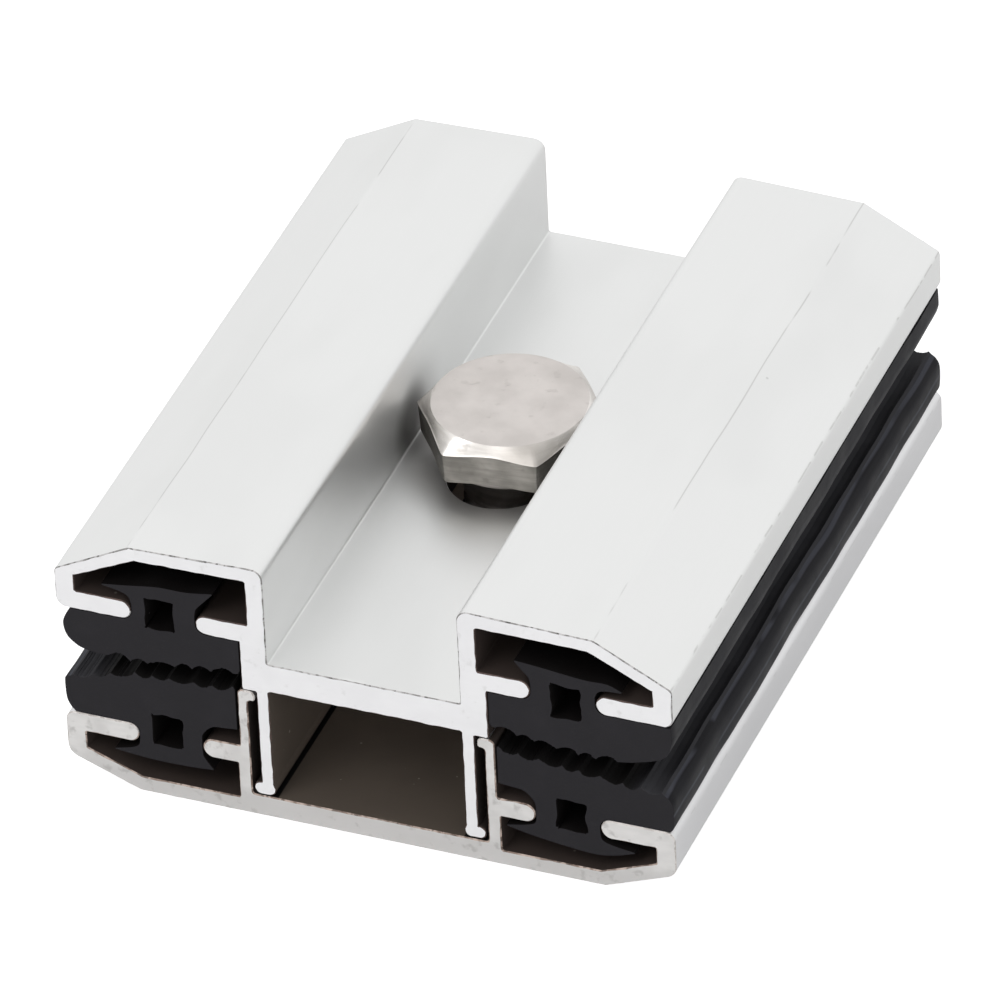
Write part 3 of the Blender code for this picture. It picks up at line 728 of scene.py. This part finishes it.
def topCorners(look):
    side, crown = topHigh[0], topHigh[2]
    near = crown - look["lipDepth"]
    far = near - wing["lip"]
    channel, bulge = guide["channelHalf"], guide["footBulge"]
    cavity = side - wing["outerWall"]
    blockOut = channel + look["block"]
    wallOut = channel + look["channelWall"]
    roof = crown - look["roof"]
    footTop = look["footUnder"] + guide["footDepth"]
    return bothSides([
        (channel, look["seat"], rounds["leg"], legSpace),
        (channel, footTop, rounds["tight"], legSpace),
        (channel - bulge, footTop - bulge * look["bulgeShare"], rounds["small"], legSpace),
        (channel - bulge, look["footUnder"], guide["footRound"], inside),
        (footOuter, look["footUnder"], guide["footRound"], slide),
        (footOuter, footTop, guide["footRound"], slide),
        (legOuter, footTop, rounds["sharp"], slide),
        (legOuter, look["blockUnder"], rounds["tight"], inside),
        (blockOut, look["blockUnder"], rounds["small"], inside),
        (blockOut, far, rounds["tight"], inside),
        *lipEnd(innerTip, far, near, inside, inside),
        (wallOut, near, rounds["tight"], inside),
        (wallOut, roof, rounds["small"], inside),
        (cavity - look["innerSlopeWidth"], roof - look["innerFall"], 0, inside),
        (cavity, crown - look["innerDrop"], rounds["tight"], inside),
        (cavity, near, rounds["soft"], inside),
        *lipEnd(outerTip, near, far, inside, skin),
        (side, far, wing["lipCorner"], skin),
        (side, crown - look["slopeDrop"], look["outerRound"], skin),
        (side - look["slopeWidth"], crown - look["fall"], look["ridgeRound"], skin),
        (channel, crown, look["channelRound"], skin),
        (channel, look["seat"] + look["web"], rounds["soft"], skin),
    ], legSpace)


rimLook = {"smooth": 3, "least": 0.35, "most": 1.9, "backSeed": 50}


def railObject(name, corners, look, low, high, metal):
    # the outline carried along Y; at each sawn end it shrinks over a short rim by an uneven amount
    loop, finishes = outlineOf(corners, look["spacing"])
    sections, depths = [], []
    for end, inwards, more in ((low[1], 1, 0), (high[1], -1, rimLook["backSeed"])):
        uneven = 1 + waves(len(loop), look["uneven"], look["seed"] + more, rimLook["smooth"])
        rim = look["rim"] * np.clip(uneven, rimLook["least"], rimLook["most"])
        steps = [(end, insetLoop(loop, rim)), (end + inwards * look["rim"], loop),
                 (end + inwards * (look["rim"] + look["margin"]), loop)]
        for depth, section in steps if inwards > 0 else reversed(steps):
            depths.append(depth)
            sections.append(section)
    # rims next to the painted-shade inner faces take the dark rim material, painted shade; the rest take
    # the burr
    rims = np.where(np.isin(finishes, (legSpace, inside, slide)), edge, burr)
    return sweptMesh(name, np.array(sections), np.array(depths), [len(loop)], finishes, sawn, rims,
                     list(metal.values()))


slot = {"x": 0.3, "width": 8.4, "length": 12.2, "flare": 0.08, "overrun": 1.0, "columns": 96}


def slotCutter(look, low, high, materials):
    # a long hole with round ends; its upper rim flares out over the last stretch
    angles = 2 * np.pi * (np.arange(look["columns"]) + 0.5) / look["columns"]
    straight = (look["length"] - look["width"]) / 2
    heights = np.array([low - look["overrun"], high - look["flare"], high, high + look["overrun"]])
    radii = look["width"] / 2 + np.array([0, 0, look["flare"], look["flare"] + look["overrun"]])
    points = np.empty((4, look["columns"], 3))
    points[:, :, 0] = look["x"] + radii[:, None] * np.cos(angles)
    points[:, :, 1] = radii[:, None] * np.sin(angles) + straight * np.sign(np.sin(angles))
    points[:, :, 2] = heights[:, None]
    count = look["columns"]
    here = np.arange(count)
    walls = joinRings(len(heights), np.roll(here, -1))[:, [0, 3, 2, 1]]
    faces = walls.tolist() + [here[::-1].tolist(), (here + 3 * count).tolist()]
    slots = [inside] * count + [sawn] * count + [sawn] * count + [inside, inside]
    return meshObject("slotCutter", points.reshape(-1, 3), faces, slots, materials)


def cutSlot(rail, low, high):
    cutter = slotCutter(slot, low, high, list(rail.data.materials))
    cut = rail.modifiers.new("slot", "BOOLEAN")
    cut.operation, cut.solver, cut.object = "DIFFERENCE", "EXACT", cutter
    bpy.context.view_layer.update()
    ready = rail.evaluated_get(bpy.context.evaluated_depsgraph_get())
    whole = rail.data
    rail.data = bpy.data.meshes.new_from_object(ready)
    rail.modifiers.clear()
    rail.data.set_sharp_from_angle(angle=sharpFrom)
    bpy.data.meshes.remove(whole)
    bpy.data.objects.remove(cutter)


baseRail = railObject("baseRail", baseCorners(base), base, baseLow, baseHigh, baseMetal)
cutSlot(baseRail, 0, base["plate"])
topRail = railObject("topRail", topCorners(top), top, topLow, topHigh, topMetal)
cutSlot(topRail, top["seat"], top["seat"] + top["web"])
print("rails made")


# Rubber strips. Places are (distance from the middle, height), the same way round on every strip:
# ribbed face from the block outwards, nose, neck between the lip tips, tail behind the lips.
def smoothThrough(points, steps):
    # a Catmull-Rom curve through the points
    points = np.array(points, float)
    padded = np.vstack([2 * points[0] - points[1], points, 2 * points[-1] - points[-2]])
    before, start, stop, after = padded[:-3], padded[1:-2], padded[2:-1], padded[3:]
    share = np.linspace(0, 1, steps, endpoint=False)[None, :, None]
    before, start, stop, after = (part[:, None, :] for part in (before, start, stop, after))
    curve = 0.5 * (2 * start + (stop - before) * share
                   + (2 * before - 5 * start + 4 * stop - after) * share ** 2
                   + (3 * start - before - 3 * stop + after) * share ** 3)
    return np.vstack([curve.reshape(-1, 2), points[-1:]])


strips = {
    "upper_left": {
        "side": -1, "body": "top", "panel": -1,
        "inner": (10.12, 13.45),
        "face": [(10.30, 13.06), (12.0, 12.80), (14.0, 12.62), (16.0, 12.45), (18.6, 12.18), (20.2, 12.30),
                 (21.0, 12.38)],
        "ribs": (10.7, 20.9), "count": 6, "depth": 0.42,
        "nose": [(22.0, 12.38), (23.22, 12.63), (24.01, 13.17), (24.41, 13.73), (24.58, 14.5),
                 (24.50, 15.1), (24.15, 15.85), (23.9, 16.22)],
        "tailOuter": [(18.80, 17.75), (19.05, 18.42), (19.75, 18.76), (21.12, 19.02)],
        "tail": [(21.16, 19.16), (19.10, 19.46), (16.57, 19.86), (14.19, 19.90), (12.10, 20.24)],
        "tailInner": [(12.02, 20.14), (12.86, 19.18), (13.45, 18.45), (13.60, 17.75)],
        "hole": (15.35, 17.68, 15.80, 18.60), "innerGap": 0.0, "seed": 21,
    },
    "upper_right": {
        "side": 1, "body": "top", "panel": -1,
        "inner": (10.12, 13.30),
        "face": [(10.30, 13.02), (12.6, 12.50), (14.5, 12.24), (17.0, 11.95), (19.2, 11.84), (20.6, 12.08)],
        "ribs": (10.6, 20.4), "count": 6, "depth": 0.44,
        "nose": [(21.6, 12.26), (23.4, 12.84), (24.35, 13.45), (24.80, 14.5), (24.84, 15.3),
                 (24.80, 16.22)],
        "tailOuter": [(18.80, 17.75), (19.1, 18.30), (19.8, 18.52), (20.95, 18.60)],
        "tail": [(21.02, 18.74), (19.80, 19.22), (17.80, 19.22), (14.14, 19.62), (12.42, 19.76)],
        "tailInner": [(12.34, 19.66), (12.95, 18.95), (13.45, 18.40), (13.60, 17.75)],
        "hole": (15.20, 17.60, 15.20, 18.20), "innerGap": 0.0, "seed": 22,
    },
    "lower_left": {
        "side": -1, "body": "base", "panel": 1,
        "inner": (10.62, 11.55),
        "face": [(10.75, 11.85), (12.42, 11.66), (15.44, 11.46), (19.10, 11.30), (21.4, 10.66),
                 (23.0, 10.22), (24.0, 9.92)],
        "ribs": (10.9, 24.0), "count": 8, "depth": 0.42,
        "nose": [(24.22, 9.76), (24.66, 9.55), (24.76, 9.10), (24.70, 7.63), (24.42, 6.86), (24.0, 6.36)],
        "tailOuter": [(18.80, 4.90), (18.95, 4.35), (19.6, 3.98), (20.90, 3.62)],
        "tail": [(20.95, 3.50), (19.2, 3.30), (17.03, 3.18), (14.6, 3.22), (12.80, 3.36)],
        "tailInner": [(12.78, 3.46), (13.20, 4.00), (13.52, 4.50), (13.60, 4.95)],
        "hole": (15.20, 17.70, 4.80, 7.60), "innerGap": 1.2, "seed": 23,
    },
    "lower_right": {
        "side": 1, "body": "base", "panel": 1,
        "inner": (10.62, 11.10),
        "face": [(10.75, 11.32), (12.6, 11.02), (14.7, 10.88), (18.1, 10.56), (21.3, 10.24), (23.9, 9.98)],
        "ribs": (10.8, 23.9), "count": 8, "depth": 0.44,
        "nose": [(24.1, 9.78), (24.52, 9.43), (24.80, 8.70), (24.76, 6.90), (24.5, 6.36)],
        "tailOuter": [(18.80, 4.90), (19.0, 4.30), (19.9, 3.98), (21.50, 3.74)],
        "tail": [(21.56, 3.62), (19.9, 3.05), (18.13, 2.80), (15.05, 3.12), (12.9, 3.45), (11.20, 3.84)],
        "tailInner": [(11.16, 3.96), (12.6, 4.28), (13.42, 4.60), (13.60, 5.00)],
        "hole": (15.30, 17.70, 4.60, 7.40), "innerGap": 1.2, "seed": 24,
    },
}
sideOf, cutOf, ribsOf, shadedRubberOf = range(4)
ribLook = {"steps": 24, "warp": 0.16, "warpTurns": 2.1, "least": 0.8, "most": 1.2, "power": 0.8,
           "tear": 0.022, "tearSmooth": 3, "tearSeed": 5}
# The curl is how a lower strip lifts off its inner lip: distance in from the neck, height over the lip,
# and the share of the whole gap added to it.
neck = {"gap": 0.03, "grip": 0.05, "overrun": 3, "noseSteps": 6, "steps": 5, "closest": 0.02,
        "curl": [(0, -0.5, 0), (0.12, 0.35, 0), (0.9, -0.05, 1), (2.0, 0.12, 1)], "curlEnd": 0.22}
stripEnd = {"recess": 0.05, "rim": 0.05, "stations": 61, "wave": 0.035, "waveSmooth": 7,
            "waveSeeds": (100, 200), "steady": 0.4, "tunnelWave": 0.05, "tunnelSmooth": 3,
            "tunnelRound": 0.15, "tunnelStep": 0.35}


def ribbedFace(look):
    # a smooth face with round grooves and pointed ridges: each groove is as deep as a power of |sin| of
    # the place in it, times a depth of its own; a slow sine moves the ridges off their even pitch
    spine = smoothThrough(look["face"], ribLook["steps"])
    start, stop = look["ribs"]
    place = np.clip((spine[:, 0] - start) / (stop - start), 0, 1) * look["count"]
    warp = ribLook["warp"] * np.sin(np.pi * place / look["count"])
    place += warp * np.sin(ribLook["warpTurns"] * place + look["seed"])
    depths = look["depth"] * np.random.default_rng(look["seed"]).uniform(
        ribLook["least"], ribLook["most"], look["count"] + 1)
    groove = depths[place.astype(int)] * np.abs(np.sin(np.pi * place)) ** ribLook["power"]
    spine[:, 1] -= look["panel"] * groove
    torn = waves(2 * len(spine), ribLook["tear"], look["seed"] + ribLook["tearSeed"], ribLook["tearSmooth"])
    spine[1:-1] += torn.reshape(-1, 2)[1:-1]
    return spine


def stripOutline(look):
    # ribbed face, nose, neck and tail joined into one loop; panel is 1 where the ribs face up, else -1
    near = (topHigh[2] - top["lipDepth"] - wing["lip"] if look["panel"] < 0
            else base["lipHeight"] + wing["lip"])
    pad = near + look["panel"] * neck["gap"]
    neckIn, neckOut = innerTip + neck["grip"], outerTip - neck["grip"]
    reach = wing["lip"] / 2
    beyond = pad - look["panel"] * neck["overrun"]
    outerArc = arcCorner((neckOut + neck["overrun"], pad), (neckOut, pad), (neckOut, beyond), reach)
    if look["innerGap"]:
        curl = [(neckIn - back, pad + up + share * look["innerGap"]) for back, up, share in neck["curl"]]
        curl.append((look["inner"][0], pad + look["innerGap"] + neck["curlEnd"]))
        innerArc = smoothThrough(curl, neck["steps"])
    else:
        corner = arcCorner((neckIn, beyond), (neckIn, pad), (neckIn - neck["overrun"], pad), reach)
        innerArc = np.vstack([corner, [look["inner"][0], pad]])
    stretches = [
        (np.array([look["inner"]]), shadedRubberOf),
        (ribbedFace(look), ribsOf),
        (smoothThrough(look["nose"], neck["noseSteps"]), sideOf),
        (outerArc, shadedRubberOf),
        *((smoothThrough(look[part], neck["steps"]), shadedRubberOf)
          for part in ("tailOuter", "tail", "tailInner")),
        (innerArc, shadedRubberOf),
    ]
    loop = np.vstack([points for points, _ in stretches])
    finishes = np.concatenate([np.full(len(points), finish) for points, finish in stretches])
    kept = np.hypot(*(np.roll(loop, -1, 0) - loop).T) > neck["closest"]
    return loop[kept], finishes[kept]


def tunnelOutline(look):
    left, right, low, high = look["hole"]
    corners = [(x, z, stripEnd["tunnelRound"], 0, 0) for x, z in
               ((left, low), (right, low), (right, high), (left, high))]
    return outlineOf(corners, stripEnd["tunnelStep"])[0]


def stripObject(name, look):
    # the loop and its tunnel carried along Y; each station drifts by a smooth random step
    outer, finishes = stripOutline(look)
    tunnel = tunnelOutline(look)
    for loop in (outer, tunnel):
        loop[:, 0] *= look["side"]
    if loopArea(outer) < 0:
        outer, finishes = outer[::-1], np.roll(finishes[::-1], -1)
    if loopArea(tunnel) > 0:
        tunnel = tunnel[::-1]
    ripple = waves(len(tunnel), stripEnd["tunnelWave"], look["seed"], stripEnd["tunnelSmooth"])
    tunnel = insetLoop(tunnel, ripple)
    low, high = topLow[1] + stripEnd["recess"], topHigh[1] - stripEnd["recess"]
    rim = stripEnd["rim"]
    depths = np.concatenate([[low], np.linspace(low + rim, high - rim, stripEnd["stations"]), [high]])
    drift = np.column_stack([
        waves(len(depths), stripEnd["wave"], look["seed"] + more, stripEnd["waveSmooth"])
        for more in stripEnd["waveSeeds"]])
    drift[:3] *= stripEnd["steady"]
    sections = []
    for index in range(len(depths)):
        ends = index in (0, len(depths) - 1)
        body = insetLoop(outer, np.full(len(outer), rim / 2)) if ends else outer
        hole = insetLoop(tunnel, np.full(len(tunnel), rim / 3)) if ends else tunnel
        sections.append(np.vstack([body, hole]) + drift[index])
    finishes = np.concatenate([finishes, np.full(len(tunnel), shadedRubberOf)])
    return sweptMesh(name, np.array(sections), depths, [len(outer), len(tunnel)], finishes, cutOf, None,
                     list(rubber.values()))


stripObjects = {label: stripObject(label + "_strip", look) for label, look in strips.items()}
print("strips made")


# Bolt: one closed grid of rings, from the middle of the head to the tip.
bolt = {"x": 0.3, "y": 0.7, "top": 20.13, "turn": 6.2, "flats": 13.0, "sharpness": 95, "columns": 216,
        "face": 6.13, "faceFrom": 0.08, "faceTo": 0.96, "faceRows": 12, "crown": 0.05, "crownPower": 4,
        "faceStep": 0.06, "flatDrop": 0.95, "cornerDrop": 1.30, "shallow": 0.60, "shallowAt": 32,
        "shallowPower": 4, "chamferRows": 9, "chamferPower": 1.15, "edgeRound": 0.05,
        "height": 3.86, "arch": 0.22, "taper": 0.16, "sideRows": 12, "underStep": 0.12, "underRise": 0.06,
        "underHead": 15.7, "washer": 5.8, "washerTop": 16.2, "washerLift": 0.02, "washerRim": 0.05,
        "washerRound": 0.1,
        "neck": 3.5, "fillet": [(0.9, 0), (0.45, 0.12), (0.35, 0.5)],
        "threadStart": 12.7, "major": 3.92, "pitch": 1.25, "threadDepth": 0.68, "threadSteep": 1.3,
        "threadFlat": 0.15, "tip": 0.02, "tipRadius": 3.15, "rowsPerPitch": 14}


def boltObject(look):
    # each ring is a radius and a height at every angle, turned about the bolt's axis
    angle = 2 * np.pi * np.arange(look["columns"]) / look["columns"]
    turned = angle + math.radians(look["turn"])
    flat = look["flats"] / 2
    sides = np.abs(np.cos(angle[None, :] - np.radians([30, 90, 150])[:, None]))
    # the hexagon with rounded corners is the p-norm of its three pairs of sides
    hexagon = flat / (sides ** look["sharpness"]).sum(0) ** (1 / look["sharpness"])
    onFlat = (1 - np.cos(6 * angle)) / 2
    # the forged chamfer is shallower round the corner at the back right
    rear = np.clip(np.cos(turned - math.radians(look["shallowAt"])), 0, 1) ** look["shallowPower"]
    drop = look["cornerDrop"] + (look["flatDrop"] - look["cornerDrop"]) * onFlat
    drop *= 1 - look["shallow"] * rear
    rings = []
    for share in np.linspace(look["faceFrom"], look["faceTo"], look["faceRows"]):
        rings.append((look["face"] * share, look["top"] - look["crown"] * share ** look["crownPower"]))
    chamferRun = hexagon - look["edgeRound"] - look["face"]
    chamferFall = drop - look["faceStep"] - look["edgeRound"]
    for share in np.linspace(0, 1, look["chamferRows"]):
        rings.append((look["face"] + chamferRun * share,
                      look["top"] - look["faceStep"] - chamferFall * share ** look["chamferPower"]))
    upper = look["top"] - drop
    lower = look["top"] - look["height"] + look["arch"] * onFlat
    for share in np.linspace(0, 1, look["sideRows"]):
        rings.append((hexagon - look["taper"] * share, upper + (lower - upper) * share))
    rings.append((hexagon - look["taper"] - look["underStep"], lower - look["underRise"]))
    washer, washerTop, underHead = look["washer"], look["washerTop"], look["underHead"]
    rings += [(washer + look["washerRim"], washerTop + look["washerLift"]),
              (washer, washerTop - look["washerRim"]),
              (washer, underHead + look["washerRound"]), (washer - look["washerRound"], underHead),
              *((look["neck"] + out, underHead - down) for out, down in look["fillet"])]
    rows = int(look["threadStart"] / look["pitch"] * look["rowsPerPitch"])
    for height in np.linspace(look["threadStart"], look["tip"], rows):
        # phase is the place round and along a thread turn; crest and root are flat, the sides straight
        phase = (height / look["pitch"] + angle / (2 * np.pi)) % 1
        depth = np.clip(np.abs(2 * phase - 1) * look["threadSteep"] - look["threadFlat"], 0, 1)
        fade = min(1.0, (look["threadStart"] - height) / look["pitch"])
        cone = look["tipRadius"] + height - look["tip"]
        rings.append((np.minimum(look["major"] - look["threadDepth"] * depth * fade, cone), height))
    radii, heights = (np.array([ring[part] + 0 * angle for ring in rings]) for part in (0, 1))
    grid = np.stack([look["x"] + radii * np.cos(turned), look["y"] + radii * np.sin(turned), heights], -1)
    count, ringCount = look["columns"], len(rings)
    here, after = np.arange(count), np.roll(np.arange(count), -1)
    points = np.vstack([grid.reshape(-1, 3), grid[0].mean(0), grid[-1].mean(0)])
    crown, end = ringCount * count, ringCount * count + 1
    last = (ringCount - 1) * count
    faces = joinRings(ringCount, after).tolist()
    faces += [[crown, one, two] for one, two in zip(here.tolist(), after.tolist())]
    faces += [[end, last + two, last + one] for one, two in zip(here.tolist(), after.tolist())]
    bounds = np.cumsum([look["faceRows"], look["chamferRows"], look["sideRows"]])
    finish = np.searchsorted(bounds, np.arange(ringCount - 1), "right")
    slots = np.repeat(finish, count).tolist() + [0] * count + [3] * count
    return meshObject("hexBolt", points, faces, slots, list(steel.values()))


hexBolt = boltObject(bolt)
print("bolt made")


for piece, node, body, finish in (
    (baseRail, "base_rail", "base", "base_aluminium"),
    (topRail, "top_rail", "top", "top_aluminium"),
    (hexBolt, "hex_bolt", "bolt", "stainless"),
    *((stripObjects[label], label + "_gasket", look["body"], "rubber") for label, look in strips.items()),
):
    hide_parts(node)
    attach(piece, body)


# Floor, world and lamps
studio = {"floorSize": 6.0, "floorDrop": 0.05, "floorColour": 0.82, "floorGlow": 0.66, "floorGloss": 0.14,
          "worldFill": 0.66}


def addFloor(look):
    # white paper; it glows where the camera sees it and, less, where a shiny face mirrors it
    half = look["floorSize"] / 2
    mesh = bpy.data.meshes.new("floor")
    corners = [(-half, -half, 0), (half, -half, 0), (half, half, 0), (-half, half, 0)]
    mesh.from_pydata(corners, [], [(0, 1, 2, 3)])
    floor = addObject("floor", mesh)
    floor.location.z = -look["floorDrop"] * mm
    material = bpy.data.materials.new("floor")
    tree = emptyTree(material)
    paper = put(tree, "ShaderNodeBsdfDiffuse", {"Color": (*[look["floorColour"]] * 3, 1)})
    path = tree.nodes.new("ShaderNodeLightPath").outputs
    seen = sums(tree, "MULTIPLY", path["Is Camera Ray"], look["floorGlow"])
    mirrored = sums(tree, "MULTIPLY", path["Is Glossy Ray"], look["floorGloss"])
    glow = put(tree, "ShaderNodeEmission", {"Strength": sums(tree, "ADD", seen, mirrored)})
    both = put(tree, "ShaderNodeAddShader", {0: paper.outputs[0], 1: glow.outputs[0]})
    put(tree, "ShaderNodeOutputMaterial", {"Surface": both.outputs[0]})
    mesh.materials.append(material)


def setWorld(look):
    # plain white where it is seen or mirrored, and dimmer as light on the object
    world = bpy.data.worlds.new("studio")
    bpy.context.scene.world = world
    tree = emptyTree(world)
    path = tree.nodes.new("ShaderNodeLightPath").outputs
    white = sums(tree, "MAXIMUM", path["Is Camera Ray"],
                 sums(tree, "MAXIMUM", path["Is Glossy Ray"], path["Is Transmission Ray"]))
    strength = spread(tree, white, 0.0, 1.0, look["worldFill"], 1.0)
    sky = put(tree, "ShaderNodeBackground", {"Color": (1, 1, 1, 1), "Strength": strength})
    put(tree, "ShaderNodeOutputWorld", {"Surface": sky.outputs[0]})


lamps = {
    "key": {"place": (-0.36, -0.60, 0.78), "size": 0.55, "power": 2.6, "colour": (1.0, 0.99, 0.975)},
    "fill": {"place": (0.75, -0.55, 0.35), "size": 0.7, "power": 0.9, "colour": (0.97, 0.98, 1.0)},
    "front": {"place": (0.20, -1.0, 0.22), "size": 0.40, "power": 1.4, "colour": (1.0, 0.985, 0.97)},
}


def addLamps():
    middle = Vector((0, 0, topHigh[2] / 2 * mm))
    for name, look in lamps.items():
        data = bpy.data.lights.new(name, "AREA")
        data.size = look["size"]
        data.energy = look["power"]
        data.color = look["colour"]
        lamp = addObject(name, data)
        lamp.location = look["place"]
        lamp.rotation_euler = (Vector(look["place"]) - middle).to_track_quat("Z", "Y").to_euler()


addFloor(studio)
setWorld(studio)
addLamps()
bpy.context.scene.view_settings.view_transform = "Standard"
print("studio made")
